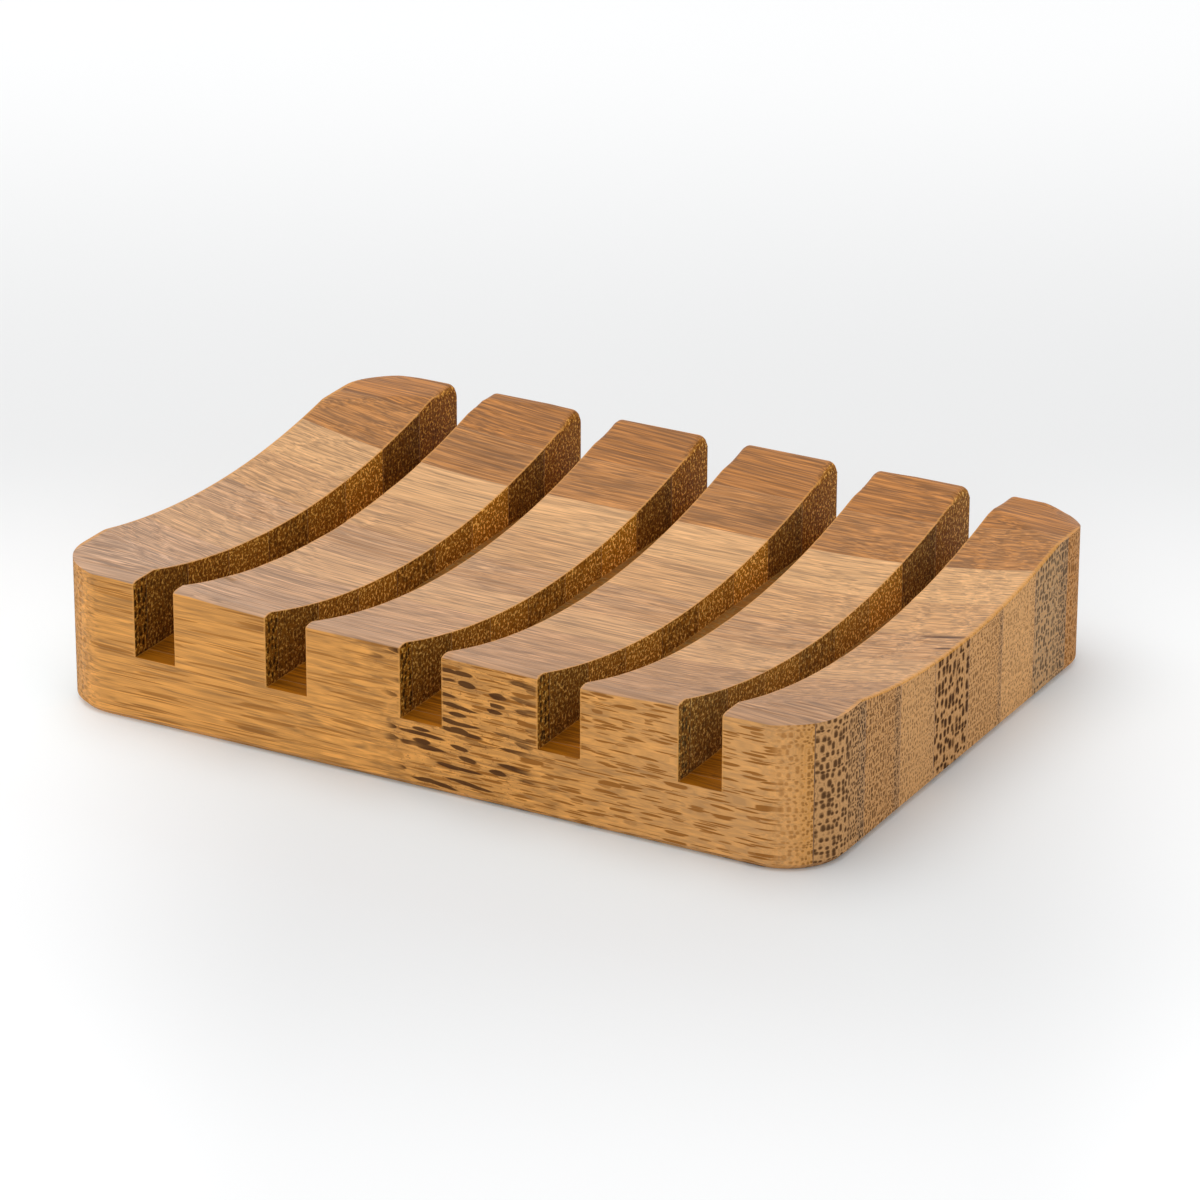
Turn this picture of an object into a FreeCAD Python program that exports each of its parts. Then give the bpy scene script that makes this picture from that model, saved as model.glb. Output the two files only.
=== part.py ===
"""Soap dish milled from a board of edge-glued bamboo laths, in millimetres.

The origin is the centre of the underside. X runs along the laths, -Y is the front, Z is up.
The board is glued from laths that stand side by side from front to rear. Then it is milled as
one piece: a scoop for the soap, rounded corners and edges, and slots that let the water out.
Every lath ends up as a comb of its own, with the ribs of the dish as its teeth.
"""
import FreeCAD, Part
import math
import os

from FreeCAD import Vector

# The board as it is glued up: its outer laths are trimmed when it is planed to depth.
LENGTH = 112.6
THICKNESS = 19.8
FRONT_LATH = 3.0
INNER_LATH = 9.9
REAR_LATH = 10.5
GLUE_LINE = 0.1

# The scoop: its depth at its lowest, how much it rises from there to the front and rear faces, how
# much its floor rises at each end, the length over which it rises, and how far its lowest point
# lies to the right and in front of the middle of the board.
SCOOP_DEPTH = 6.4
SCOOP_RISE = 6.5
END_RISE = 3.6
RISE_RUN = 36.0
SCOOP_RIGHT = 0.8
SCOOP_FORWARD = 0.75

# The slots between the ribs.
SLOT_WIDTH = 6.0
RIB_WIDTH = 14.0
SLOT_FLOOR = 9.3
SLOT_COUNT = 5

# The lips along the front and rear: the radius of their crown, how far behind the face the middle
# of the crown lies, and the eased edges between crown and face.
LIP_CROWN = 3.0
CROWN_INSET = 1.2
FRONT_ROUND = 0.4
REAR_ROUND = 1.1

# The corners seen from above, the eased edges of the ends and the bevel around the underside.
CORNER_RADIUS = 8.5
END_ROUND = 0.35
BASE_BEVEL = 0.8

# How far a cutter runs past the board.
OVERRUN = 5.0

INNER_NAMES = (
    "second_lath",
    "third_lath",
    "fourth_lath",
    "middle_lath",
    "sixth_lath",
    "seventh_lath",
    "eighth_lath",
)


def lath_widths():
    """The laths from front to rear, each with its width."""
    laths = [("front_lath", FRONT_LATH)]
    for name in INNER_NAMES:
        laths.append((name, INNER_LATH))
    laths.append(("rear_lath", REAR_LATH))
    return laths


def board_depth():
    """Depth of the board: all laths and the glue line between each two."""
    widths = [width for name, width in lath_widths()]
    return sum(widths) + GLUE_LINE * (len(widths) - 1)


def arc_radius(half_chord, rise):
    """Radius of the arc that rises this much over half its chord."""
    return (half_chord ** 2 + rise ** 2) / (2 * rise)


def board(depth):
    """The flat board with its four corners rounded and its underside bevelled."""
    corner = Vector(-LENGTH / 2, -depth / 2, 0)
    block = Part.makeBox(LENGTH, depth, THICKNESS, corner)
    uprights = [edge for edge in block.Edges if edge.BoundBox.ZLength > edge.Length / 2]
    rounded = block.makeFillet(CORNER_RADIUS, uprights)
    underside = min(rounded.Faces, key=lambda face: face.CenterOfMass.z)
    return rounded.makeChamfer(BASE_BEVEL, underside.Edges)


def scoop_centre(depth, x):
    """Centre of the arc that the scoop follows across the laths at x."""
    radius = arc_radius(depth / 2, SCOOP_RISE)
    return Vector(x, -SCOOP_FORWARD, THICKNESS - SCOOP_DEPTH + radius)


def scoop_point(depth, x, y, inset):
    """The point at y that lies this far below the scoop's arc, measured square to the arc."""
    centre = scoop_centre(depth, x)
    reach = arc_radius(depth / 2, SCOOP_RISE) + inset
    return Vector(x, y, centre.z - math.sqrt(reach ** 2 - (y - centre.y) ** 2))


def closed_below(x, half, outline):
    """The face between this outline of the top and a straight line far below it."""
    front = Vector(x, -half, -THICKNESS)
    rear = Vector(x, half, -THICKNESS)
    rear_side = Part.LineSegment(outline[-1].lastVertex().Point, rear).toShape()
    below = Part.LineSegment(rear, front).toShape()
    front_side = Part.LineSegment(front, outline[0].firstVertex().Point).toShape()
    return Part.Face(Part.Wire(outline + [rear_side, below, front_side]))


def plain_section(depth, half, x):
    """A section across the laths whose top is the scoop's arc alone."""
    lowest = scoop_point(depth, x, -SCOOP_FORWARD, 0)
    front = scoop_point(depth, x, -half, 0)
    rear = scoop_point(depth, x, half, 0)
    return closed_below(x, half, [Part.Arc(front, lowest, rear).toShape()])


def arc(centre, radius, start, end):
    """The arc about a centre that runs from one direction to another."""
    middle = (start + end).normalize()
    return Part.Arc(*[centre + direction * radius for direction in (start, middle, end)])


def lip(crown, to_bed, side):
    """The lip from the face to the surface behind it: its eased edge and its crown."""
    ease = FRONT_ROUND if side < 0 else REAR_ROUND
    ahead = CROWN_INSET - ease
    above = math.sqrt((LIP_CROWN - ease) ** 2 - ahead ** 2)
    edge = crown + Vector(0, side * ahead, above)
    to_face = Vector(0, side, 0)
    to_edge = (edge - crown).normalize()
    return [arc(edge, ease, to_face, to_edge), arc(crown, LIP_CROWN, to_edge, to_bed)]


def lipped_top(front, bed, rear):
    """The outline of the top from the front face to the rear face."""
    for part in rear:
        part.reverse()
    return [part.toShape() for part in front + [bed] + rear[::-1]]


def flat_section(depth, x):
    """A section across the laths whose top is flat between the two lips."""
    lips = []
    for side in (-1, 1):
        crown = Vector(x, side * (depth / 2 - CROWN_INSET), THICKNESS - LIP_CROWN)
        lips.append(lip(crown, Vector(0, 0, 1), side))
    bed = Part.LineSegment(lips[0][-1].EndPoint, lips[1][-1].EndPoint)
    return closed_below(x, depth / 2, lipped_top(lips[0], bed, lips[1]))


def scooped_section(depth, x):
    """A section across the laths whose top is the scoop's arc between the two lips."""
    lips = []
    for side in (-1, 1):
        crown = scoop_point(depth, x, side * (depth / 2 - CROWN_INSET), LIP_CROWN)
        lips.append(lip(crown, (scoop_centre(depth, x) - crown).normalize(), side))
    lowest = scoop_point(depth, x, -SCOOP_FORWARD, 0)
    bed = Part.Arc(lips[0][-1].EndPoint, lowest, lips[1][-1].EndPoint)
    return closed_below(x, depth / 2, lipped_top(lips[0], bed, lips[1]))


def lipped_board(depth):
    """The board with a lip along its front and rear, before it is scooped."""
    reach = LENGTH / 2 + OVERRUN
    lips = flat_section(depth, -reach).extrude(Vector(2 * reach, 0, 0))
    return board(depth).common(lips)


def scooped(section):
    """The section carried along the laths: straight in the middle and swung upwards at both ends."""
    straight = LENGTH / 2 - RISE_RUN
    swing_radius = arc_radius(RISE_RUN, END_RISE)
    reach = RISE_RUN + SCOOP_RIGHT + OVERRUN
    swing = math.degrees(math.asin(reach / (swing_radius - SCOOP_DEPTH - OVERRUN)))
    pieces = [section(SCOOP_RIGHT - straight).extrude(Vector(2 * straight, 0, 0))]
    for side in (-1, 1):
        turn = SCOOP_RIGHT + side * straight
        pivot = Vector(turn, 0, THICKNESS - SCOOP_DEPTH + swing_radius)
        pieces.append(section(turn).revolve(pivot, Vector(0, -side, 0), swing))
    return pieces[0].fuse(pieces[1:]).removeSplitter()


def ends_eased(depth):
    """The scoop as the whole top of a block that is too deep, with the edges of both ends eased."""
    half = depth / 2 + OVERRUN
    corner = Vector(-LENGTH / 2, -half, -THICKNESS)
    trim = Part.makeBox(LENGTH, 2 * half, 3 * THICKNESS, corner)
    block = scooped(lambda x: plain_section(depth, half, x)).common(trim)
    edges = []
    for side in (-1, 1):
        end = max(block.Faces, key=lambda face: side * face.CenterOfMass.x)
        edges.append(max(end.Edges, key=lambda edge: edge.CenterOfMass.z))
    return block.makeFillet(END_ROUND, edges)


def dished_board(depth):
    """What the scoop with its lips and eased ends leaves of the board."""
    scoop = scooped(lambda x: scooped_section(depth, x))
    return lipped_board(depth).common(scoop).common(ends_eased(depth))


def slot_cutters(depth):
    """One straight cutter per slot, evenly spaced about the middle, open at front, rear and top."""
    pitch = SLOT_WIDTH + RIB_WIDTH
    first = -pitch * (SLOT_COUNT - 1) / 2 - SLOT_WIDTH / 2
    cutters = []
    for index in range(SLOT_COUNT):
        corner = Vector(first + index * pitch, -depth / 2 - OVERRUN, SLOT_FLOOR)
        cutters.append(Part.makeBox(SLOT_WIDTH, depth + 2 * OVERRUN, THICKNESS, corner))
    return cutters


def layer(dish, front, width):
    """The slice of the dish between two upright planes across its depth, as one solid."""
    corner = Vector(-LENGTH / 2 - OVERRUN, front, -OVERRUN)
    slab = Part.makeBox(LENGTH + 2 * OVERRUN, width, THICKNESS + 2 * OVERRUN, corner)
    pieces = dish.common(slab).Solids
    if len(pieces) != 1:
        raise ValueError("a layer is not one piece")
    return pieces[0]


def layers(dish, depth):
    """Every lath and glue line from front to rear, by name."""
    laths = lath_widths()
    pieces = {}
    front = -depth / 2
    for number, (name, width) in enumerate(laths, start=1):
        pieces[name] = layer(dish, front, width)
        front += width
        if number < len(laths):
            pieces["glue_line_" + str(number)] = layer(dish, front, GLUE_LINE)
            front += GLUE_LINE
    return pieces


def main():
    depth = board_depth()
    dish = dished_board(depth).cut(slot_cutters(depth))
    os.makedirs("parts", exist_ok=True)
    for name, piece in layers(dish, depth).items():
        piece.exportStep("parts/" + name + ".step")


main()
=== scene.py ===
"""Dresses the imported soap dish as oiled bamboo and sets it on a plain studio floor.

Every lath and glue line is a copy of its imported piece, with the slot edges worn round by sanding
and the rear lip worn by use. X runs along the laths, -Y is the front, Z is up. Wear and patterns
are worked out in millimetres, the stage in metres.
"""

import math
from typing import NamedTuple

import bmesh
import bpy
from mathutils import Matrix, Vector


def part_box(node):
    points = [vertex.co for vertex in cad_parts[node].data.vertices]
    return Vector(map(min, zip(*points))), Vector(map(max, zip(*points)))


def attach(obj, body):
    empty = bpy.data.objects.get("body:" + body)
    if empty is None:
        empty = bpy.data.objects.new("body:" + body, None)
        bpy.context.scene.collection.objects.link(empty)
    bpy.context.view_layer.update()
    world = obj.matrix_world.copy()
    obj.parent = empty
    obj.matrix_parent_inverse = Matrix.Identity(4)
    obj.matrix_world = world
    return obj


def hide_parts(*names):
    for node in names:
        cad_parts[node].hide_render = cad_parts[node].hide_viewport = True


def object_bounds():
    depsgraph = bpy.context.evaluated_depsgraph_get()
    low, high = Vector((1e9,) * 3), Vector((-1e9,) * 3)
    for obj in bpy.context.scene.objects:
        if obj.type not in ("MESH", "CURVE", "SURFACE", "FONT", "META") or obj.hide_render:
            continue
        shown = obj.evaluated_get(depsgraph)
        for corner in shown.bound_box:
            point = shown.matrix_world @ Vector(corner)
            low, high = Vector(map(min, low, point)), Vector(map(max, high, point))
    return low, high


bl_info = {
    "name": "Bamboo soap dish",
    "version": (1, 0, 0),
    "blender": (4, 5, 0),
    "location": "3D View > Sidebar > Soap dish",
    "description": "Finishes the laths and glue lines of a soap dish and sets its studio stage",
    "category": "Object",
}

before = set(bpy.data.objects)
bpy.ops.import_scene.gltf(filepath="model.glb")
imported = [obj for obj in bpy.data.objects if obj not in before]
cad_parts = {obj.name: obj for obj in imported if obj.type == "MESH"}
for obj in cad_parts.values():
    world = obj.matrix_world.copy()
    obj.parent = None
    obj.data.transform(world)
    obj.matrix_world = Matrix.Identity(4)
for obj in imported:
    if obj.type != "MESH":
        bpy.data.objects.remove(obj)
CAD_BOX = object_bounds()

BODY = "root"
MM = 0.001
NO_TINT = (1.0, 1.0, 1.0)
WOOD_IOR = 1.5

# The slots, as they are milled: their numbers, counted from the middle, and their sizes in mm.
SLOTS = range(-2, 3)
SLOT_PITCH = 20.0
SLOT_HALF = 3.0
SLOT_FLOOR = 9.3
LAST_SLOT = 45.0

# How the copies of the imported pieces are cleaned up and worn.
WELD = 1e-6
FLAT_ANGLE = math.radians(0.02)
SHARP_ANGLE = math.radians(35)
WEAR_STEPS = 3
SQUARE = 0.99
NEAR = 0.05

# The rear lip, in mm: where its wear starts and where it is full, how round its ribs are worn
# towards the slots, and how far its left and right corner are worn down and inwards.
LIP_START = 34.0
LIP_FULL = 39.5
RIB_WEAR = 1.1
CORNER_MIDDLE = (47.8, 33.3)
CORNER_RADIUS = 8.5
CORNER_DROP = (0.2, 0.95)
CORNER_REACH = 4.5
TOP_ABOVE = 12.0

# How finely the rear lip is cut up, so that its wear comes out round.
CUT_STEP = 0.5
RIB_STEPS = 4
CORNER_STEPS = 16
LIP_STEPS = 16

# How far the patterns are moved, so that no two laths, joints or directions look alike.
LATH_SHIFT = 31.0
GLUE_SHIFT = 17.0
WANDER_SHIFT = 60.0
RIPPLE_SHIFT = 4.0

# How fast the patterns change per mm: along the laths, across them and upwards.
WANDER_Y_RATES = (0.03, 0.04, 0.04)
WANDER_Z_RATES = (0.03, 0.04, 1.0)
FIBRE_RATES = (0.07, 2.7, 2.7)
LINE_RATES = (0.035, 1.5, 1.5)
BREAK_RATES = (0.08, 1.1, 1.1)
TONE_RATES = (0.025, 0.35, 0.2)
DUST_RATES = (2.2, 2.2, 2.2)
PITH_RATES = (2.3, 2.3, 2.3)
WOBBLE_RATES = (0.2, 0.0, 0.25)
RIPPLE_RATES = (0.15, 0.0, 0.5)
SPECK_RATES = (1.3, 0.0, 2.4)
GLUE_RATES = (0.35, 0.1, 0.5)

# How rough the fine patterns are, from smooth at 0 to harsh at 1.
HARSH = 0.7
GRAINY = 0.6

# Which surfaces count as cross cut, as the top and as a rounded corner: how far they face sideways
# or upwards where that starts and where it is full.
CROSS_CUT = (0.45, 0.85)
UPWARD = (0.35, 0.75)
ROUNDED = (0.15, 0.5)

# Where the finish of the slots fades out, in mm from the middle and above the underside.
SLOTS_END = (50.0, 47.0)
FLOOR_OVER = (SLOT_FLOOR + 0.45, SLOT_FLOOR + 0.15)
FLOOR_UNDER = (SLOT_FLOOR - 0.3, SLOT_FLOOR - 0.05)

# Fibres wander by so many mm. The front lath's come to the face more steeply towards the right, in
# 1/mm. Thin dark lines among them are broken.
WANDER_Y = 0.7
WANDER_Z = 0.9
FRONT_CURVE = 0.00045
LINE_EDGE = (0.05, 0.025)
LINE_BREAKS = (0.42, 0.56)

# Fibre bundles are taller than they are wide, not quite in rows, of several sizes, and have a soft
# edge and a pale ring. The last three are shares of a bundle's own size.
BUNDLE_HEIGHT = 1.3
BUNDLE_SCATTER = 0.68
BUNDLE_SIZE_SHARES = (0.8, 1.2)
CORE_SHARE = 0.4
RING_INSIDE_SHARES = (0.85, 1.1)
RING_OUTSIDE_SHARES = (1.8, 1.3)

# Where a lath turns from its loose to its dense side, as a share of its width, and how raggedly.
DENSE_SHARES = (0.52, 0.68)
DENSE_RAGGED_SHARE = 0.1

# Coarse bundles on the slot walls of the front lath: spacing in mm, share of it that a bundle fills,
# and darkness.
COARSE_SPACING = 0.95
COARSE_BUNDLE = 0.44
COARSE_DARK = 0.9

# Grounds: how far planed faces lean to pink, sawn ones to gold and rings to the palest bamboo.
ROSY_SHARE = 0.6
SAWN_SHARE = 0.2
RING_PALE_SHARE = 0.75
RING_SHARE = 0.75

# The painted sheen on the tops, a painted reflection that is strongest at the left front, lies
# between these places along the laths, in mm. Towards the right, laths that are rosier than most
# are darkened in tone, as painted shade.
PAINTED_SHEEN_ENDS = (30.0, -50.0)
PAINTED_SHEEN_SHARE = 0.45
PAINTED_SHADE_ENDS = (0.0, 40.0)
PAINTED_SHADE_ROSY = 0.4
PAINTED_SHADE_SHARE = 0.28

# Lightness of faces along the grain: the middle, how far fibres, tones and lines move it, its lower
# end, and the contrast of the front lath and of the others, which grows with depth and pink.
ALONG_LIGHT = 1.03
ALONG_FIBRES = 1.15
ALONG_TONES = 0.2
ALONG_LINES = -0.28
ALONG_LEAST = 0.6
FRONT_CONTRAST = 0.8
CONTRAST = 0.85
DEPTH_CONTRAST = 0.6
ROSY_CONTRAST = 0.3

# Lightness of the end grain: the middle and how far dust and tones move it.
END_LIGHT = 0.90
END_DUST = 0.7
END_TONES = 0.1

# The dense side: how raggedly it starts in mm, the share of its width that is at its darkest, and
# how much of it shows on the slot walls.
SKIN_RAGGED = 0.6
SKIN_FULL_SHARE = 0.45
SKIN_WALL_SHARE = 0.4

# How much of the bundles' darkness shows on the slot walls, and along the grain of round corners.
WALL_DARK_SHARE = 0.45
ROUNDED_DARK_SHARE = 0.6

# The front face is paler towards the right, and its marks crowd there, between these places in mm.
PALER_ENDS = (8.0, 50.0)
PALER_SHARE = 0.45
CROWDED_ENDS = (-14.0, 10.0)

# The joint of the culm on the front lath, in mm: where it starts and ends, how far its border
# wobbles, how its slashes slope and ripple, and how dark its slashes and specks are.
JOINT_START = (-6.5, -1.5)
JOINT_END = (21.0, 11.0)
JOINT_WOBBLE = 8.0
SLASH_SLOPE = 0.06
SLASH_RIPPLE = 0.6
SPECK_EDGE = (0.58, 0.64)
SLASH_SHARE = 0.92
SPECK_SHARE = 0.6

# Slot walls: specks of pith and how bright they are, the stretch that is soaked, the stretch that is
# dusty, in mm along the laths, and the shares of dust off and on the pith.
PITH_EDGE = (0.52, 0.62)
PITH_LIGHT = 2.0
SOAKED_ENDS = (-5.0, -45.0)
DUSTY_ENDS = (5.0, 50.0)
DUSTY_SHARES = (0.05, 0.24)

# Slot floors: how dark the oil and the painted shade of the slots leave them, and the dry dust on
# them further back.
FLOOR_LIGHT = 0.86
DRY_ENDS = (-32.0, 0.0)
DRY_SHARES = (0.3, 0.7)
DRY_GOLDEN_SHARE = 0.45
DRY_LIGHT = 0.46

# Worn edges, in mm, partly golden wear and partly a painted highlight where the edges turn to the
# light: how raggedly they run, the place and width of a slot's edge, its foot, and the end's edge.
# Then the directions that they face and how strongly the wear and the painted highlight show.
EDGE_RAGGED = 0.25
EDGE_PLACE = SLOT_HALF + 0.05
EDGE_WIDTH = (0.30, 0.10)
EDGE_FOOT = (SLOT_FLOOR - 0.3, SLOT_FLOOR + 0.3)
EDGE_SIDEWAYS = (0.97, 0.8)
EDGE_SHARE = 0.5
END_RAGGED = 0.4
END_PLACE = (55.6, 56.0)
END_UPWARD = (0.08, 0.3)
END_SHARE = 0.6

# Roughness: the middle, and what end grain, fibres and marks add to it.
ROUGHNESS = 0.48
END_ROUGHNESS = 0.2
FIBRE_ROUGHNESS = 0.1
MARK_ROUGHNESS = 0.1

# Polish: of the palest lath, what the deepest lacks, of end grain, and what is left on dull marks.
POLISH = 0.40
DEPTH_POLISH = 0.14
END_POLISH = 0.12
DULL_SHARES = (1.0, 0.2)

# Relief: how far fibres, marks and the dust of end grain stand out, how strongly, and how high in
# metres.
FIBRE_RELIEF = 0.6
MARK_RELIEF = -0.5
DUST_RELIEF = 0.8
RELIEF = 0.4
RELIEF_HEIGHT = 0.00025

# Glue: where it is squeezed thin, its ground between pale and deep bamboo, how much of its darkness
# is left where it is thin, how much of it wears off on top, and its roughness when full and thin.
THIN_EDGE = (0.35, 0.65)
GLUE_DETAIL = 3.0
GLUE_DEPTH_SHARE = 0.6
THIN_DARK_SHARE = 0.45
GLUE_UPWARD = (0.3, 0.7)
GLUE_WORN_SHARE = 0.65
GLUE_ROUGHNESS = (0.35, 0.55)

# The camera: its place in metres, the directions of its right side, top and back, its sensor in mm
# and how near and far it sees.
CAMERA_PLACE = (0.3451, -0.6246, 0.3115)
CAMERA_RIGHT = (0.87653, 0.48133, 0.00248)
CAMERA_UP = (-0.18892, 0.33929, 0.92152)
CAMERA_BACK = (0.44272, -0.80821, 0.38833)
SENSOR_WIDTH = 36.0
CLIP_START = 0.01
CLIP_END = 20.0

# The key light and the floor, in metres.
KEY_PLACE = (-0.35, 0.05, 1.25)
KEY_SIZE = 1.3
KEY_COLOUR = (1.0, 0.98, 0.95)
FLOOR_RADIUS = 3.0
FLOOR_SIDES = 64
FLOOR_BELOW = 0.00005
FLOOR_ROUGHNESS = 0.6

# The floor's glow around the dish, as the camera sees it: where it starts and where it is full, in
# metres to the right or back, and how strong it is.
GLOW_LEFT = (-0.03, -0.08)
GLOW_LEFT_POWER = 0.17
GLOW_RIGHT = (0.045, 0.085)
GLOW_RIGHT_POWER = 0.13
GLOW_FRONT = (-0.07, -0.15)
GLOW_FRONT_POWER = 0.135
GLOW_BACK = (0.10, 0.30)
GLOW_BACK_POWER = 0.14
GLOW_BESIDE = (0.09, 0.01)

# The shadow close to the dish is lifted: how far out in metres, where on the right this fades, how
# much of it is left there, and by which colour.
LIFT_REACH = 0.03
LIFT_RIGHT = (0.03, 0.06)
LIFT_SHARES = (1.0, 0.35)
LIFT_COLOUR = (0.035, 0.07, 0.08)

# How far the end grain of these laths has greyed.
GREYED = {"second_lath": 0.25, "eighth_lath": 0.85}


class Mark(NamedTuple):
    """Slender marks along the grain."""

    length: float  # of the patch that each lies in, in mm
    height: float  # of that patch, in mm
    share: float  # of the patches that hold a mark
    darkness: float


# Marks on the front face: faint on the left, short and fine on the right, and those of the joint.
FAINT_MARK = Mark(16.0, 0.45, 0.75, 0.65)
SHORT_MARK = Mark(6.5, 0.54, 0.85, 1.0)
FINE_MARK = Mark(3.6, 0.42, 0.45, 0.8)
LONG_SLASH = Mark(13.0, 1.15, 0.65, 1.0)
SHORT_SLASH = Mark(5.0, 1.25, 0.45, 1.0)
MARK_EDGE = (0.30, 0.23)
MARK_SOFTNESS = 0.1


class Smoke(NamedTuple):
    """A smoky spot on the top of a lath."""

    node: str
    centre: tuple  # in mm, seen from above
    half: tuple  # half its length and width, in mm
    share: float  # how dark it is


SMOKE = (
    Smoke("eighth_lath", (-28.5, 26.0), (8.0, 6.0), 0.22),
    Smoke("eighth_lath", (14.0, 26.0), (5.0, 4.0), 0.3),
    Smoke("middle_lath", (53.0, 0.6), (5.5, 0.6), 0.9),
    Smoke("middle_lath", (55.0, -3.5), (2.8, 0.5), 0.9),
)
SMOKE_EDGE = (1.0, 0.2)


class Lath(NamedTuple):
    """What sets one lath of the board apart from its neighbours."""

    node: str
    depth: float  # from pale to deep caramel
    rosy: float  # how far its planed face leans to pink
    spacing: float  # distance between fibre bundles on its loose side, in mm
    bundle: float  # share of the spacing that a bundle fills
    dark: float  # how dark the bundles are on the end grain
    streak: float  # how dark the same bundles show along the grain
    skin: float  # how dark its dense side is on the end grain
    skin_width: float  # width of that dense side, in mm
    tilt: float  # drift of the fibres towards the rear along the lath
    lean: float  # drift of the fibres upwards along the lath
    wall: float  # how bright its slot walls stay under the oil and the painted shade
    dense: float  # spacing of the bundles on its dense side, as a share of the loose one
    end: float  # how bright its end grain is


LATHS = (
    Lath("front_lath", 0.50, 0.9, 0.55, 0.40, 0.60, 0.90, 0.0, 1.0, 0.065, 0.010, 0.60, 0.9, 1.00),
    Lath("second_lath", 0.52, 0.9, 0.80, 0.46, 0.88, 0.20, 0.6, 2.4, 0.01, 0.050, 0.72, 0.6, 0.90),
    Lath("third_lath", 0.48, 0.7, 0.52, 0.44, 0.75, 0.15, 0.5, 2.2, -0.01, 0.045, 0.95, 0.8, 1.02),
    Lath("fourth_lath", 0.18, 0.4, 0.55, 0.38, 0.55, 0.12, 0.1, 2.0, 0.01, 0.040, 0.98, 0.9, 1.07),
    Lath("middle_lath", 0.38, 0.5, 1.10, 0.47, 1.00, 0.25, 0.2, 1.4, -0.01, 0.050, 0.88, 0.9, 0.90),
    Lath("sixth_lath", 0.26, 0.2, 0.52, 0.42, 0.65, 0.15, 0.5, 1.4, 0.01, 0.042, 1.05, 0.8, 1.07),
    Lath("seventh_lath", 0.06, 0.1, 0.52, 0.38, 0.55, 0.12, 0.1, 1.5, -0.01, 0.040, 1.25, 0.9, 1.16),
    Lath("eighth_lath", 0.82, 0.0, 0.78, 0.44, 0.75, 0.25, 0.5, 3.0, 0.01, 0.050, 0.72, 0.7, 1.00),
    Lath("rear_lath", 0.95, 0.0, 0.60, 0.40, 0.60, 0.25, 0.2, 3.0, 0.06, 0.020, 1.05, 0.8, 1.10),
)

# How dark each glue line shows, from front to rear.
GLUE_DARKNESS = (1.0, 0.35, 0.25, 0.85, 0.55, 0.35, 0.55, 0.4)


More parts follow.
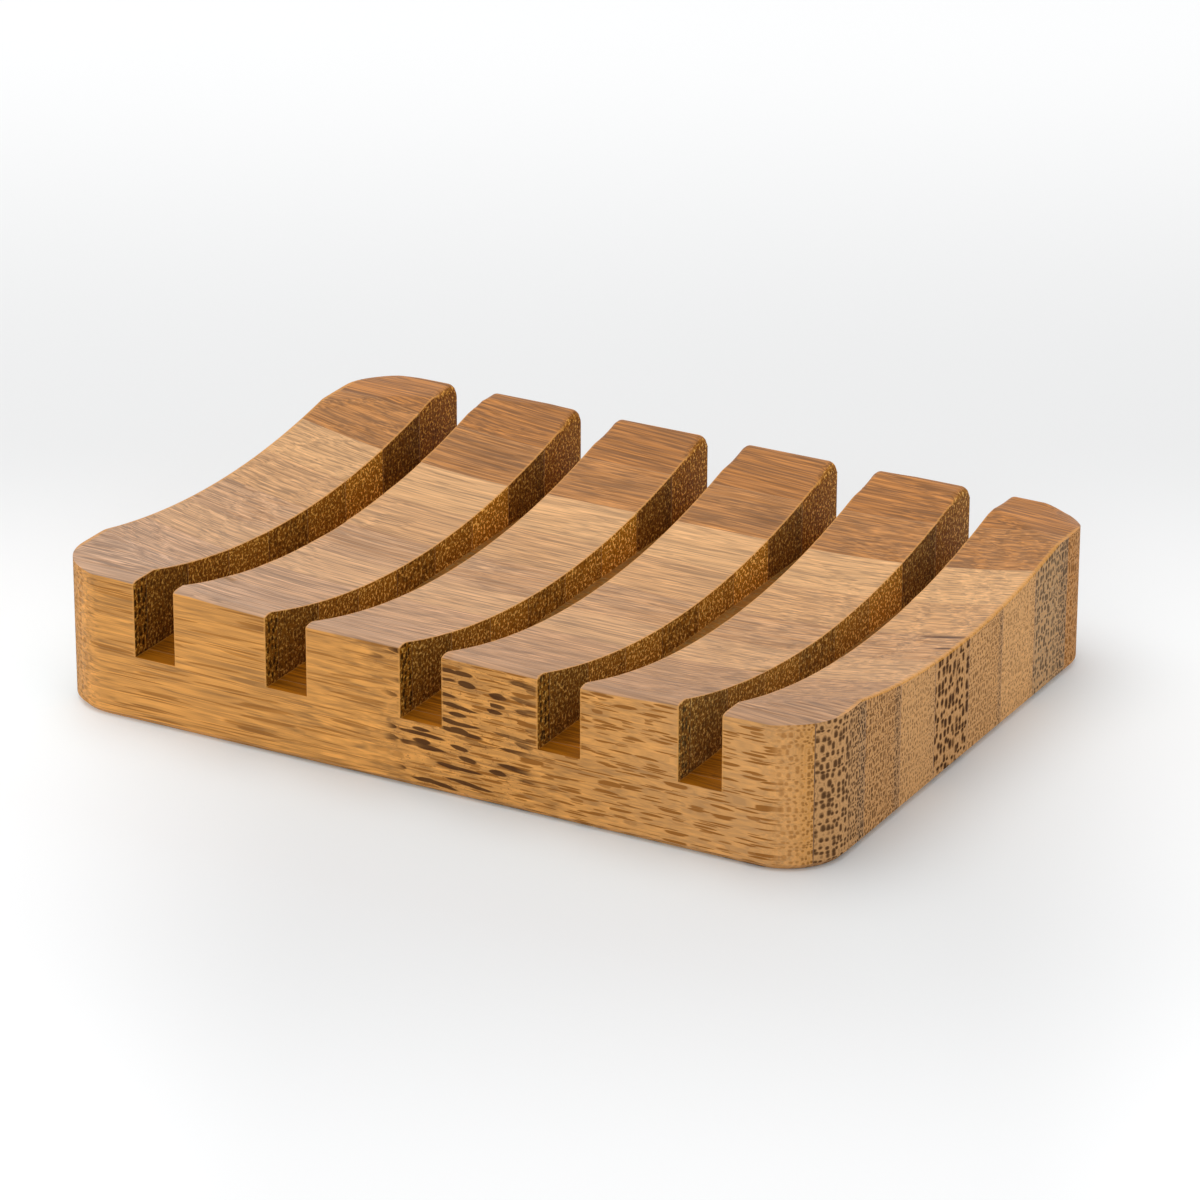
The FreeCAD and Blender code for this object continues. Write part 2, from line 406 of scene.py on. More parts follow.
class BambooFinish(bpy.types.PropertyGroup):
    """Colours and wear of the bamboo."""

    pale: bpy.props.FloatVectorProperty(
        name="Pale bamboo",
        description="Ground colour of the lightest laths",
        subtype="COLOR",
        default=(0.665, 0.365, 0.150),
        min=0.0,
        max=1.0,
    )
    deep: bpy.props.FloatVectorProperty(
        name="Deep bamboo",
        description="Ground colour of the darkest laths",
        subtype="COLOR",
        default=(0.375, 0.142, 0.028),
        min=0.0,
        max=1.0,
    )
    rosy: bpy.props.FloatVectorProperty(
        name="Rosy bamboo",
        description="Tint that planed faces of some laths lean to",
        subtype="COLOR",
        default=(0.46, 0.27, 0.17),
        min=0.0,
        max=1.0,
    )
    golden: bpy.props.FloatVectorProperty(
        name="Golden bamboo",
        description="Colour of the front face and of the slot floors",
        subtype="COLOR",
        default=(0.65, 0.290, 0.060),
        min=0.0,
        max=1.0,
    )
    bundle: bpy.props.FloatVectorProperty(
        name="Fibre bundles",
        description="Colour of the dark fibre bundles",
        subtype="COLOR",
        default=(0.070, 0.030, 0.012),
        min=0.0,
        max=1.0,
    )
    dash: bpy.props.FloatVectorProperty(
        name="Dashes",
        description="Colour of fibre bundles cut along the grain",
        subtype="COLOR",
        default=(0.295, 0.107, 0.016),
        min=0.0,
        max=1.0,
    )
    scorch: bpy.props.FloatVectorProperty(
        name="Culm joint",
        description="Colour of the dark marks at the joints of the culm",
        subtype="COLOR",
        default=(0.075, 0.027, 0.008),
        min=0.0,
        max=1.0,
    )
    # Colour of the worn edges, which also serves as their painted highlight.
    worn: bpy.props.FloatVectorProperty(
        name="Worn edges",
        description="Colour of the worn edges of slots and ends",
        subtype="COLOR",
        default=(0.72, 0.33, 0.070),
        min=0.0,
        max=1.0,
    )
    # Tint for the oil of the slots and for their painted shade.
    oil: bpy.props.FloatVectorProperty(
        name="Oiled slots",
        description="Tint of the slot walls and floors, which keep more oil",
        subtype="COLOR",
        default=(0.60, 0.44, 0.06),
        min=0.0,
        max=1.0,
    )
    pith: bpy.props.FloatVectorProperty(
        name="Pith",
        description="Tint of the pale pith between the fibre bundles on the slot walls",
        subtype="COLOR",
        default=(0.92, 1.0, 0.66),
        min=0.0,
        max=1.0,
    )
    soaked: bpy.props.FloatVectorProperty(
        name="Soaked walls",
        description="Further tint of the slot walls towards the left",
        subtype="COLOR",
        default=(0.87, 0.80, 0.64),
        min=0.0,
        max=1.0,
    )
    dust: bpy.props.FloatVectorProperty(
        name="Dust",
        description="Colour of the fine dust on the slot walls towards the right",
        subtype="COLOR",
        default=(0.79, 0.63, 0.28),
        min=0.0,
        max=1.0,
    )
    weathered: bpy.props.FloatVectorProperty(
        name="Weathered ends",
        description="Colour that the end grain of some laths has greyed to",
        subtype="COLOR",
        default=(0.44, 0.30, 0.165),
        min=0.0,
        max=1.0,
    )
    skin: bpy.props.FloatVectorProperty(
        name="Dense side",
        description="Colour of the dense outer side of a lath on its end grain",
        subtype="COLOR",
        default=(0.13, 0.088, 0.058),
        min=0.0,
        max=1.0,
    )
    # A painted reflection: the pale sheen blended over the tops towards the left front.
    painted_sheen: bpy.props.FloatVectorProperty(
        name="Film",
        description="Colour of the thin film on the tops towards the left front",
        subtype="COLOR",
        default=(0.50, 0.34, 0.24),
        min=0.0,
        max=1.0,
    )
    glue: bpy.props.FloatVectorProperty(
        name="Glue",
        description="Colour of the set glue between the laths",
        subtype="COLOR",
        default=(0.060, 0.028, 0.012),
        min=0.0,
        max=1.0,
    )
    wear: bpy.props.FloatProperty(
        name="Edge wear",
        description="Width of the worn slot edges",
        subtype="DISTANCE",
        unit="LENGTH",
        default=0.00013,
        min=0.00005,
        max=0.0006,
    )


class DishStage(bpy.types.PropertyGroup):
    """Floor, light and camera around the dish."""

    floor: bpy.props.FloatVectorProperty(
        name="Floor",
        description="Colour of the floor under the dish",
        subtype="COLOR",
        default=(0.79, 0.80, 0.81),
        min=0.0,
        max=1.0,
    )
    surround: bpy.props.FloatProperty(
        name="Surround",
        description="Strength of the even light from all around",
        default=0.80,
        min=0.0,
        max=5.0,
    )
    key_power: bpy.props.FloatProperty(
        name="Key light",
        description="Power of the large soft light above the left",
        unit="POWER",
        default=6.0,
        min=0.0,
        max=200.0,
    )
    lens: bpy.props.FloatProperty(
        name="Lens",
        description="Focal length of the camera in mm",
        default=175.34,
        min=20.0,
        max=400.0,
    )


class Grain:
    """Adds nodes to one material, so that a pattern can be written like a sum."""

    def __init__(self, material):
        material.use_nodes = True
        self.tree = material.node_tree
        self.tree.nodes.clear()

    def add(self, kind, inputs, **settings):
        """A node with these settings, its inputs given by name or number."""
        node = self.tree.nodes.new("ShaderNode" + kind)
        for name, value in settings.items():
            setattr(node, name, value)
        for place, value in inputs.items():
            if isinstance(value, bpy.types.NodeSocket):
                self.tree.links.new(value, node.inputs[place])
            else:
                node.inputs[place].default_value = value
        return node

    def calc(self, operation, *values):
        """One step of arithmetic."""
        return self.add("Math", dict(enumerate(values)), operation=operation).outputs[0]

    def times(self, *values):
        """Product of all values."""
        product = values[0]
        for value in values[1:]:
            product = self.calc("MULTIPLY", product, value)
        return product

    def plus(self, *values):
        """Sum of all values."""
        total = values[0]
        for value in values[1:]:
            total = self.calc("ADD", total, value)
        return total

    def invert(self, value):
        """What is left of one."""
        return self.calc("SUBTRACT", 1.0, value)

    def fade(self, value, start, end):
        """Rises smoothly from 0 at start to 1 at end."""
        inputs = {"Value": value, "From Min": start, "From Max": end}
        node = self.add("MapRange", inputs, interpolation_type="SMOOTHSTEP")
        return node.outputs[0]

    def span(self, value, low, high):
        """Turns 0 to 1 into low to high."""
        inputs = {"Value": value, "To Min": low, "To Max": high}
        return self.add("MapRange", inputs).outputs[0]

    def swing(self, value, reach):
        """Turns 0 to 1 into as far below zero as above it."""
        return self.span(value, -reach, reach)

    def larger(self, first, second):
        """The larger of two values."""
        return self.calc("MAXIMUM", first, second)

    def gap(self, first, second):
        """How far two values lie apart."""
        return self.calc("ABSOLUTE", self.calc("SUBTRACT", first, second))

    def vector(self, x, y, z):
        """A vector from three numbers."""
        return self.add("CombineXYZ", {0: x, 1: y, 2: z}).outputs[0]

    def parts(self, vector):
        """The three numbers of a vector."""
        return self.add("SeparateXYZ", {0: vector}).outputs[:3]

    def stretch(self, place, rates, shift=(0.0, 0.0, 0.0)):
        """Where a pattern is looked up that changes at these rates and is moved by this shift."""
        moved = [
            self.plus(self.times(value, rate), step)
            for value, rate, step in zip(place, rates, shift)
        ]
        return self.vector(*moved)

    def blend(self, share, first, second):
        """Mixes two colours."""
        inputs = {0: share, 6: opaque(first), 7: opaque(second)}
        return self.add("Mix", inputs, data_type="RGBA").outputs[2]

    def mix(self, share, first, second):
        """Mixes two numbers."""
        return self.add("Mix", {0: share, 2: first, 3: second}).outputs[0]

    def stain(self, colour, tint):
        """A colour seen through a tint."""
        inputs = {0: 1.0, 6: colour, 7: opaque(tint)}
        return self.add("Mix", inputs, data_type="RGBA", blend_type="MULTIPLY").outputs[2]

    def shade(self, colour, factor):
        """A colour made lighter or darker."""
        inputs = {0: colour, "Scale": factor}
        return self.add("VectorMath", inputs, operation="SCALE").outputs[0]

    def clouds(self, vector, roughness=0.5, detail=2.0):
        """Soft noise of about one unit."""
        inputs = {"Vector": vector, "Scale": 1.0, "Detail": detail, "Roughness": roughness}
        return self.add("TexNoise", inputs).outputs[0]

    def cells(self, vector, scatter):
        """Scattered flat cells of about one unit: distance to the centre and a random number each."""
        inputs = {"Vector": vector, "Scale": 1.0, "Randomness": scatter}
        node = self.add("TexVoronoi", inputs, voronoi_dimensions="2D")
        return node.outputs["Distance"], self.parts(node.outputs["Color"])[0]

    def coat(self, inputs):
        """The surface that the material ends in."""
        surface = self.add("BsdfPrincipled", inputs)
        self.add("OutputMaterial", {"Surface": surface.outputs[0]})


class LathGrain(Grain):
    """The grain of one lath: its places and directions, and the patterns that its finish uses."""

    def __init__(self, material, lath, number, finish):
        super().__init__(material)
        self.lath = lath
        self.finish = finish
        self.is_front = lath.node == "front_lath"
        self.wood = between(finish.pale, finish.deep, lath.depth)
        self.plain = finish.golden if self.is_front else self.wood
        self.shift = LATH_SHIFT * number
        coordinates = self.add("TexCoord", {})
        self.find_place(coordinates.outputs["Object"])
        self.find_direction(coordinates.outputs["Normal"])
        self.lay_fibres()
        self.scatter_specks()
        self.scatter_bundles()

    def find_place(self, place):
        """Where a point lies, in mm: on the board and across the lath."""
        low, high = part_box(self.lath.node)
        width = (high.y - low.y) / MM
        self.scaled = self.shade(place, 1 / MM)
        self.place = self.parts(self.scaled)
        self.x, self.y, self.z = self.place
        self.from_middle = self.calc("ABSOLUTE", self.x)
        self.across = self.times(self.calc("SUBTRACT", self.y, low.y / MM), 1 / width)
        self.from_rear = self.times(self.invert(self.across), width)

    def find_direction(self, normal):
        """Which way the surface faces, and whether it belongs to a slot."""
        aside, _, self.rising = self.parts(normal)
        self.sideways = self.calc("ABSOLUTE", aside)
        self.cross_cut = self.fade(self.sideways, *CROSS_CUT)
        self.upward = self.fade(self.rising, *UPWARD)
        self.front_face = self.times(self.invert(self.upward), self.invert(self.cross_cut))
        self.among_slots = self.fade(self.from_middle, *SLOTS_END)
        self.slot_wall = self.times(self.cross_cut, self.among_slots)
        self.slot_floor = self.times(
            self.fade(self.z, *FLOOR_OVER), self.fade(self.z, *FLOOR_UNDER), self.upward
        )

    def lay_fibres(self):
        """Fibres that wander on their way along the lath, thin dark lines and broad changes of tone."""
        moved = (self.shift, 0.0, 0.0)
        wander_y = self.clouds(self.stretch(self.place, WANDER_Y_RATES, moved))
        raised = (self.shift, 0.0, WANDER_SHIFT)
        wander_z = self.clouds(self.stretch(self.place, WANDER_Z_RATES, raised))
        tilted = self.times(self.x, self.lath.tilt)
        leaning = self.times(self.x, self.lath.lean)
        self.fibre_y = self.plus(self.y, tilted, self.swing(wander_y, WANDER_Y), self.shift)
        if self.is_front:
            self.fibre_y = self.plus(self.fibre_y, self.times(self.x, self.x, FRONT_CURVE))
        self.fibre_z = self.plus(self.z, leaning, self.swing(wander_z, WANDER_Z))

        along = (self.x, self.fibre_y, self.fibre_z)
        self.fibres = self.clouds(self.stretch(along, FIBRE_RATES), HARSH)
        lines = self.clouds(self.stretch(along, LINE_RATES, moved), detail=1.0)
        breaks = self.clouds(self.stretch(along, BREAK_RATES, (0.0, self.shift, 0.0)))
        self.lines = self.times(
            self.fade(self.gap(lines, 0.5), *LINE_EDGE), self.fade(breaks, *LINE_BREAKS)
        )
        self.tone = self.clouds(self.stretch(self.place, TONE_RATES, moved))

    def scatter_specks(self):
        """The dust of end grain and specks of pith."""
        self.dust = self.clouds(self.stretch(self.place, DUST_RATES), HARSH)
        pith = self.clouds(self.stretch(self.place, PITH_RATES), GRAINY)
        self.pith = self.fade(pith, *PITH_EDGE)

    def scatter_bundles(self):
        """Fibre bundles: wide apart on the loose side of the lath and close on its dense side."""
        lath = self.lath
        loose, loose_ring = self.bundles(lath.spacing, lath.bundle)
        dense, dense_ring = self.bundles(lath.spacing * lath.dense, lath.bundle)
        ragged = self.swing(self.clouds(self.scaled), DENSE_RAGGED_SHARE)
        to_dense = self.fade(self.plus(self.across, ragged), *DENSE_SHARES)
        self.cores = self.mix(to_dense, loose, dense)
        self.rings = self.mix(to_dense, loose_ring, dense_ring)

    def bundles(self, spacing, share):
        """Dark fibre bundles seen across the grain, and the pale ring around each."""
        across = self.times(self.fibre_y, 1 / spacing)
        above = self.times(self.fibre_z, 1 / (spacing * BUNDLE_HEIGHT))
        distance, chance = self.cells(self.vector(across, above, 0.0), BUNDLE_SCATTER)
        least, most = BUNDLE_SIZE_SHARES
        reach = self.span(chance, least * share, most * share)
        core = self.fade(distance, reach, self.times(reach, CORE_SHARE))
        inside, outside = [
            self.fade(distance, self.times(reach, start), self.times(reach, end))
            for start, end in (RING_INSIDE_SHARES, RING_OUTSIDE_SHARES)
        ]
        return core, self.times(inside, outside)

    def slashes(self, z, mark):
        """Slender marks along the grain, one in each of some patches."""
        along = self.times(self.x, 1 / mark.length)
        above = self.times(z, 1 / mark.height)
        distance, chance = self.cells(self.vector(along, above, 0.0), 1.0)
        kept = self.fade(chance, mark.share, mark.share - MARK_SOFTNESS)
        return self.times(self.fade(distance, *MARK_EDGE), kept, mark.darkness)


def opaque(colour):
    """A plain colour with full opacity added; a joined socket stays as it is."""
    if isinstance(colour, bpy.types.NodeSocket):
        return colour
    return (*colour, 1.0)


def between(first, second, share):
    """The colour that lies this share of the way between two."""
    return tuple(a + (b - a) * share for a, b in zip(first, second))


def is_glue_face(face):
    """An upright face across the depth that lies inside the board, against a glue line or lath."""
    inside = abs(face.calc_center_median().y) < CAD_BOX[1].y - NEAR * MM
    return abs(face.normal.y) > SQUARE and inside


def is_slot_wall(face):
    """An upright face of a slot."""
    return abs(face.normal.x) > SQUARE and abs(face.calc_center_median().x) < LAST_SLOT * MM


def is_slot_floor(face):
    """The flat bottom of a slot."""
    height = face.calc_center_median().z
    return face.normal.z > SQUARE and abs(height - SLOT_FLOOR * MM) < NEAR * MM


def is_worn(edge):
    """An outward edge of a slot that hands and sandpaper reach."""
    if len(edge.link_faces) != 2 or not edge.is_convex:
        return False
    if any(is_glue_face(face) for face in edge.link_faces):
        return False
    walls = sum(is_slot_wall(face) for face in edge.link_faces)
    floors = sum(is_slot_floor(face) for face in edge.link_faces)
    return walls + floors == 1 and edge.calc_face_angle() > SHARP_ANGLE


def eased(value, start, end):
    """Rises smoothly from 0 at start to 1 at end."""
    share = min(max((value - start) / (end - start), 0.0), 1.0)
    return share * share * (3 - 2 * share)


def rib_drop(x):
    """How far a rib's top is worn down at x, in mm: it rounds over towards the nearest slot."""
    slot = min(max(round(x / SLOT_PITCH), SLOTS[0]), SLOTS[-1])
    inside = max(abs(x - slot * SLOT_PITCH) - SLOT_HALF, 0.0)
    short = max(RIB_WEAR - inside, 0.0)
    return RIB_WEAR - math.sqrt(RIB_WEAR ** 2 - short ** 2)


def corner_drop(x, y):
    """How far the top is worn down near a rounded corner of the board, in mm."""
    aside = max(abs(x) - CORNER_MIDDLE[0], 0.0)
    behind = max(y - CORNER_MIDDLE[1], 0.0)
    inside = max(CORNER_RADIUS - math.hypot(aside, behind), 0.0)
    short = max(1 - inside / CORNER_REACH, 0.0)
    return CORNER_DROP[x > 0] * short ** 2 * eased(aside, 0.0, CORNER_RADIUS / 2)


def lip_cuts():
    """Upright planes through the rear lip, close enough to round it: a place and a direction each."""
    across = []
    for side in (-1, 1):
        for slot in SLOTS:
            for step in range(1, RIB_STEPS + 1):
                worn = RIB_WEAR * step / RIB_STEPS
                across.append(slot * SLOT_PITCH + side * (SLOT_HALF + worn))
        for step in range(1, CORNER_STEPS + 1):
            across.append(side * (CORNER_MIDDLE[0] + CUT_STEP * step))
    along = [LIP_START + CUT_STEP * step for step in range(LIP_STEPS)]
    return [((x, 0, 0), (1, 0, 0)) for x in across] + [((0, y, 0), (0, 1, 0)) for y in along]


def wear_rear_lip(shape):
    """Wears the ribs of the rear lip round towards the slots and the corners of the board."""
    for place, direction in lip_cuts():
        faces = [
            face for face in shape.faces
            if face.calc_center_median().z > TOP_ABOVE * MM and abs(face.normal.x) < SQUARE
        ]
        edges = {edge for face in faces for edge in face.edges}
        verts = {vert for face in faces for vert in face.verts}
        bmesh.ops.bisect_plane(
            shape,
            geom=[*verts, *edges, *faces],
            dist=WELD,
            plane_co=Vector(place) * MM,
            plane_no=direction,
        )
    for vert in shape.verts:
        x, y, z = vert.co / MM
        if z > TOP_ABOVE:
            drop = max(rib_drop(x), corner_drop(x, y)) * eased(y, LIP_START, LIP_FULL)
            vert.co.z -= drop * MM
    shape.normal_update()


def wear_round(shape, edges, width, steps):
    """Wears these edges round."""
    bmesh.ops.bevel(
        shape,
        geom=edges,
        offset=width,
        offset_type="OFFSET",
        segments=steps,
        profile=0.5,
        affect="EDGES",
        material=-1,
    )


def worn_copy(node, wear):
    """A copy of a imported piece, cleaned up, with its slot edges and the rear lip worn round."""
    shape = bmesh.new()
    shape.from_mesh(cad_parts[node].data)
    bmesh.ops.remove_doubles(shape, verts=shape.verts, dist=WELD)
    bmesh.ops.dissolve_limit(
        shape, angle_limit=FLAT_ANGLE, verts=shape.verts, edges=shape.edges
    )
    if node == "rear_lath":
        wear_rear_lip(shape)
    edges = [edge for edge in shape.edges if is_worn(edge)]
    if not edges:
        raise RuntimeError("no slot edges found on " + node)
    wear_round(shape, edges, wear, WEAR_STEPS)
    for vert in shape.verts:
        vert.co.y = min(vert.co.y, CAD_BOX[1].y)
        vert.co.z = min(vert.co.z, CAD_BOX[1].z)
    for face in shape.faces:
        face.smooth = True
    for edge in shape.edges:
        edge.smooth = edge.calc_face_angle(0) < SHARP_ANGLE
    mesh = bpy.data.meshes.new("worn_" + node)
    shape.to_mesh(mesh)
    shape.free()
    piece = bpy.data.objects.new("worn_" + node, mesh)
    bpy.context.scene.collection.objects.link(piece)
    normals = piece.modifiers.new("even_shading", "WEIGHTED_NORMAL")
    normals.keep_sharp = True
    return piece


def stand_in(piece, node, material):
    """Puts a finished piece in the place of its packed one."""
    piece.data.materials.append(material)
    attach(piece, BODY)
    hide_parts(node)


def planed_top(grain):
    """Colour of the planed top with painted sheen and shade, and, in the slots, of their floors."""
    lath, finish = grain.lath, grain.finish
    planed = between(grain.wood, finish.rosy, lath.rosy * ROSY_SHARE)
    # Painted reflection: a pale sheen over the tops towards the left front.
    painted_sheen = grain.times(grain.fade(grain.x, *PAINTED_SHEEN_ENDS), lath.rosy * PAINTED_SHEEN_SHARE)
    with_painted_sheen = grain.blend(painted_sheen, planed, finish.painted_sheen)
    # Painted shade: rosier laths are darker towards the right.
    rosier = max(0.0, lath.rosy - PAINTED_SHADE_ROSY)
    painted_shade = grain.times(grain.fade(grain.x, *PAINTED_SHADE_ENDS), rosier * PAINTED_SHADE_SHARE)
    with_painted_sheen = grain.shade(with_painted_sheen, grain.invert(painted_shade))
    return grain.blend(grain.slot_floor, with_painted_sheen, finish.golden)


def sawn_end(grain):
    """Colour of the end grain, which has greyed outside the slots."""
    finish = grain.finish
    sawn = between(grain.plain, finish.golden, SAWN_SHARE)
    greyed = between(sawn, finish.weathered, GREYED.get(grain.lath.node, 0.0))
    return grain.blend(grain.slot_wall, greyed, sawn)


def lightness(grain):
    """How light the surface is, along the grain and on the end grain."""
    lath = grain.lath
    contrast = CONTRAST + DEPTH_CONTRAST * lath.depth + ROSY_CONTRAST * lath.rosy
    if grain.is_front:
        contrast = FRONT_CONTRAST
    along = grain.plus(
        ALONG_LIGHT,
        grain.swing(grain.fibres, ALONG_FIBRES * contrast),
        grain.swing(grain.tone, ALONG_TONES),
        grain.times(grain.lines, ALONG_LINES * contrast),
    )
    along = grain.larger(along, ALONG_LEAST)
    end = grain.plus(
        END_LIGHT, grain.swing(grain.dust, END_DUST), grain.swing(grain.tone, END_TONES)
    )
    end = grain.times(end, grain.mix(grain.slot_wall, lath.end, 1.0))
    return grain.mix(grain.cross_cut, along, end)


def dense_side(grain):
    """How far the dark dense side of the lath shows on the end grain."""
    lath = grain.lath
    ragged = grain.plus(grain.from_rear, grain.swing(grain.dust, SKIN_RAGGED))
    side = grain.fade(ragged, lath.skin_width, SKIN_FULL_SHARE * lath.skin_width)
    strength = grain.mix(grain.slot_wall, lath.skin, SKIN_WALL_SHARE * lath.skin)
    return grain.times(side, grain.cross_cut, strength)


def front_dashes(grain):
    """Dashes on the front face, faint on the left and crowded on the right."""
    faint = grain.slashes(grain.fibre_z, FAINT_MARK)
    crowded = grain.larger(
        grain.slashes(grain.fibre_z, SHORT_MARK), grain.slashes(grain.fibre_z, FINE_MARK)
    )
    dashes = grain.mix(grain.fade(grain.x, *CROWDED_ENDS), faint, crowded)
    dots = grain.times(grain.cores, ROUNDED_DARK_SHARE)
    return grain.mix(grain.fade(grain.sideways, *ROUNDED), dashes, dots)


def bundle_marks(grain):
    """Fibre bundles: dark on the end grain and the slot walls, dashes along the grain."""
    lath = grain.lath
    along = grain.times(grain.cores, lath.streak)
    on_wall = grain.times(grain.cores, lath.dark * WALL_DARK_SHARE)
    if grain.is_front:
        along = grain.times(front_dashes(grain), grain.invert(grain.upward), lath.streak)
        coarse, _ = grain.bundles(COARSE_SPACING, COARSE_BUNDLE)
        on_wall = grain.times(coarse, COARSE_DARK)
    on_end = grain.times(grain.cores, lath.dark)
    return grain.mix(grain.cross_cut, along, grain.mix(grain.slot_wall, on_end, on_wall))


def culm_joint(grain):
    """Dark slashes and specks on the front face where a joint of the culm crosses the lath."""
    wobble = grain.clouds(grain.stretch(grain.place, WOBBLE_RATES))
    along = grain.plus(grain.x, grain.swing(wobble, JOINT_WOBBLE))
    zone = grain.times(grain.fade(along, *JOINT_START), grain.fade(along, *JOINT_END))
    ripple = grain.clouds(grain.stretch(grain.place, RIPPLE_RATES, (0.0, RIPPLE_SHIFT, 0.0)))
    sloped = grain.plus(grain.z, grain.times(grain.x, SLASH_SLOPE))
    bent = grain.plus(sloped, grain.swing(ripple, SLASH_RIPPLE))
    slash = grain.larger(grain.slashes(bent, LONG_SLASH), grain.slashes(bent, SHORT_SLASH))
    specks = grain.clouds(grain.stretch(grain.place, SPECK_RATES), HARSH)
    return grain.times(zone, slash), grain.times(zone, grain.fade(specks, *SPECK_EDGE))


def smoky_spot(grain, smoke):
    """A soft oval on the top of the lath."""
    along = grain.times(grain.calc("SUBTRACT", grain.x, smoke.centre[0]), 1 / smoke.half[0])
    across = grain.times(grain.calc("SUBTRACT", grain.y, smoke.centre[1]), 1 / smoke.half[1])
    square = grain.plus(grain.times(along, along), grain.times(across, across))
    oval = grain.fade(grain.calc("SQRT", square), *SMOKE_EDGE)
    return grain.times(oval, grain.upward, smoke.share)


def oiled_and_shaded_slots(grain, colour):
    """Slot walls and floors keep more oil and get painted shade; pale pith shows on walls, dry dust on
    floors.
    """
    finish = grain.finish
    # Painted shade in the slots, together with the oil: walls and floors are darkened by a tint.
    oiled_and_shaded = grain.stain(colour, finish.oil)
    pith = grain.shade(grain.stain(colour, finish.pith), PITH_LIGHT)
    wall = grain.shade(grain.blend(grain.pith, oiled_and_shaded, pith), grain.lath.wall)
    soaked = grain.blend(grain.fade(grain.x, *SOAKED_ENDS), NO_TINT, finish.soaked)
    wall = grain.stain(wall, soaked)
    dusty = grain.times(grain.fade(grain.x, *DUSTY_ENDS), grain.span(grain.pith, *DUSTY_SHARES))
    wall = grain.blend(dusty, wall, finish.dust)
    dry = grain.times(grain.fade(grain.y, *DRY_ENDS), grain.span(grain.pith, *DRY_SHARES))
    dusted = grain.shade(between(finish.dust, finish.golden, DRY_GOLDEN_SHARE), DRY_LIGHT)
    bottom = grain.blend(dry, grain.shade(oiled_and_shaded, FLOOR_LIGHT), dusted)
    colour = grain.blend(grain.slot_floor, colour, bottom)
    return grain.blend(grain.slot_wall, colour, wall)


def worn_edges_and_highlights(grain):
    """How far the edges of slots and ends are worn down to golden wood, with a painted highlight."""
    slot = grain.times(grain.calc("ROUND", grain.times(grain.x, 1 / SLOT_PITCH)), SLOT_PITCH)
    ragged = grain.plus(grain.gap(grain.x, slot), grain.swing(grain.dust, EDGE_RAGGED))
    slot_edge = grain.times(
        grain.fade(grain.gap(ragged, EDGE_PLACE), *EDGE_WIDTH),
        grain.fade(grain.z, *EDGE_FOOT),
        grain.among_slots,
        grain.fade(grain.sideways, *EDGE_SIDEWAYS),
    )
    ragged = grain.plus(grain.from_middle, grain.swing(grain.dust, END_RAGGED))
    end_edge = grain.times(
        grain.fade(ragged, *END_PLACE), grain.fade(grain.rising, *END_UPWARD)
    )
    return grain.larger(
        grain.times(slot_edge, EDGE_SHARE), grain.times(end_edge, END_SHARE)
    )


def oil_coat(grain, colour, marks, dull):
    """The oiled surface: duller and rougher on end grain and marks, with the relief of the fibres."""
    roughness = grain.plus(
        ROUGHNESS,
        grain.times(grain.cross_cut, END_ROUGHNESS),
        grain.swing(grain.fibres, FIBRE_ROUGHNESS),
        grain.times(marks, MARK_ROUGHNESS),
    )
    polish = POLISH - DEPTH_POLISH * grain.lath.depth
    polish = grain.mix(grain.cross_cut, polish, END_POLISH)
    height = grain.plus(
        grain.times(grain.fibres, FIBRE_RELIEF),
        grain.times(marks, MARK_RELIEF),
        grain.times(grain.dust, grain.cross_cut, DUST_RELIEF),
    )
    relief = {"Strength": RELIEF, "Distance": RELIEF_HEIGHT, "Height": height}
    grain.coat(
        {
            "Base Color": colour,
            "Roughness": roughness,
            "Specular IOR Level": grain.times(polish, grain.span(dull, *DULL_SHARES)),
            "Normal": grain.add("Bump", relief).outputs[0],
            "IOR": WOOD_IOR,
        }
    )


def bamboo(lath, number, finish):
    """The oiled bamboo of one lath."""
    material = bpy.data.materials.new("bamboo_" + lath.node)
    grain = LathGrain(material, lath, number, finish)
    ground = grain.blend(grain.upward, grain.plain, planed_top(grain))
    ground = grain.blend(grain.cross_cut, ground, sawn_end(grain))
    colour = grain.shade(ground, lightness(grain))
    colour = grain.blend(dense_side(grain), colour, finish.skin)
    if grain.is_front:
        paler = grain.times(grain.fade(grain.x, *PALER_ENDS), grain.front_face, PALER_SHARE)
        colour = grain.blend(paler, colour, finish.pale)

    rings = grain.times(grain.rings, grain.cross_cut, RING_SHARE)
    colour = grain.blend(rings, colour, between(grain.plain, finish.pale, RING_PALE_SHARE))
    marks = bundle_marks(grain)
    colour = grain.blend(marks, colour, grain.blend(grain.cross_cut, finish.dash, finish.bundle))
    dull = grain.larger(marks, grain.slot_floor)
    if grain.is_front:
        slash, speck = culm_joint(grain)
        specked = grain.times(speck, grain.front_face, SPECK_SHARE)
        colour = grain.blend(specked, colour, finish.dash)
        slashed = grain.times(slash, grain.front_face, SLASH_SHARE)
        colour = grain.blend(slashed, colour, finish.scorch)
        dull = grain.larger(dull, slash)
    for smoke in SMOKE:
        if smoke.node == lath.node:
            colour = grain.blend(smoky_spot(grain, smoke), colour, finish.scorch)

    # Oil and painted shade in the slots.
    colour = oiled_and_shaded_slots(grain, colour)
    # Golden worn edges, partly a painted highlight where the edges catch the light.
    colour = grain.blend(worn_edges_and_highlights(grain), colour, finish.worn)
    oil_coat(grain, colour, marks, dull)
    return material


